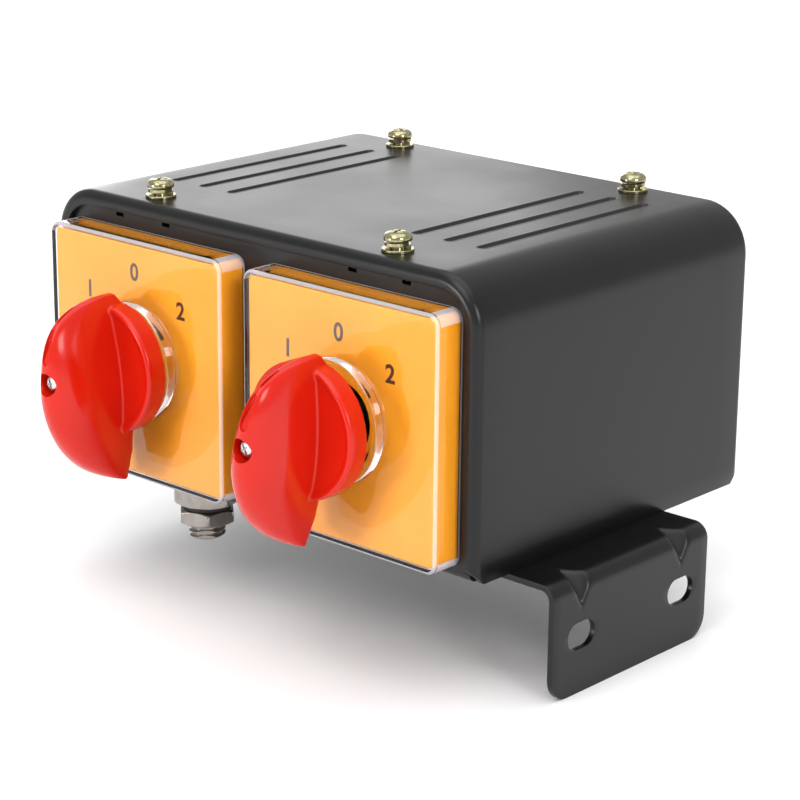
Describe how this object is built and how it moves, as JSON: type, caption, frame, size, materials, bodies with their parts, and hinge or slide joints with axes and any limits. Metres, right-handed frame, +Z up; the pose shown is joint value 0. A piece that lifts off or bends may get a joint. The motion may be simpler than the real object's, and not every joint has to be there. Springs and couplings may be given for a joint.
{
  "type": "reversing drum switch",
  "caption": "Folded steel box with rotary cam switches: red blade knobs on yellow face plates under clear square covers, a cable gland below and a slotted side bracket.",
  "frame": {"origin": "middle of the bracket's two slots, on the outer face of its leg", "axes": "+X out of the bracket face to the right as seen from the front, +Y from the knobs to the back of the box, +Z up"},
  "size_m": [0.162, 0.1478, 0.11],
  "materials": {
    "black_coat": "semi-gloss powder coat",
    "black_plastic": "moulded",
    "black_rubber": "matt",
    "bright_steel": "bright zinc plate",
    "brown_plastic": "moulded",
    "clear_plastic": "clear polished plastic",
    "contact_brass": "bright brass",
    "copper": "bright copper",
    "cream_plastic": "moulded",
    "nickel": "dull nickel plate",
    "red_plastic": "moulded, glossy",
    "shaft_steel": "plain steel",
    "spring_steel": "spring wire",
    "white_plastic": "moulded",
    "yellow_plastic": "moulded, semi-gloss",
    "yellow_zinc": "yellow-passivated zinc plate"
  },
  "bodies": {
    "base": {"cover": "black_coat", "chassis": "black_coat", "cover_nuts": "yellow_zinc", "cover_screws": "yellow_zinc", "split_washers": "yellow_zinc", "flat_washers": "yellow_zinc", "bracket": "black_coat", "bracket_screws": "yellow_zinc", "bracket_nuts": "yellow_zinc", "gland_body": "nickel", "gland_seal": "black_rubber", "gland_nut": "nickel", "gland_sleeve": "black_rubber", "gland_dome_nut": "nickel", "left_clear_cover": "clear_plastic", "left_face_plate": "yellow_plastic", "left_mount_screws": "bright_steel", "left_detent_housing": "black_plastic", "left_detent_plungers": "white_plastic", "left_detent_springs": "spring_steel", "left_decks": "cream_plastic", "left_followers": "white_plastic", "left_bridges": "copper", "left_contact_springs": "spring_steel", "left_terminals": "contact_brass", "left_terminal_screws": "bright_steel", "left_end_plate": "black_plastic", "left_tie_bolts": "bright_steel", "right_clear_cover": "clear_plastic", "right_face_plate": "yellow_plastic", "right_mount_screws": "bright_steel", "right_detent_housing": "black_plastic", "right_detent_plungers": "white_plastic", "right_detent_springs": "spring_steel", "right_decks": "cream_plastic", "right_followers": "white_plastic", "right_bridges": "copper", "right_contact_springs": "spring_steel", "right_terminals": "contact_brass", "right_terminal_screws": "bright_steel", "right_end_plate": "black_plastic", "right_tie_bolts": "bright_steel"},
    "left_rotor": {"left_knob": "red_plastic", "left_knob_screw": "bright_steel", "left_shaft": "shaft_steel", "left_star_wheel": "white_plastic", "left_cams": "brown_plastic"},
    "right_rotor": {"right_knob": "red_plastic", "right_knob_screw": "bright_steel", "right_shaft": "shaft_steel", "right_star_wheel": "white_plastic", "right_cams": "brown_plastic"}
  },
  "joints": [
    {"name": "left_knob_turn", "type": "hinge", "parent": "base", "child": "left_rotor", "pos_m": [-0.124, -0.044, 0.05], "axis": [0, 1, 0], "range_deg": [-45, 45]},
    {"name": "right_knob_turn", "type": "hinge", "parent": "base", "child": "right_rotor", "pos_m": [-0.052, -0.044, 0.05], "axis": [0, 1, 0], "range_deg": [-45, 45]}
  ]
}
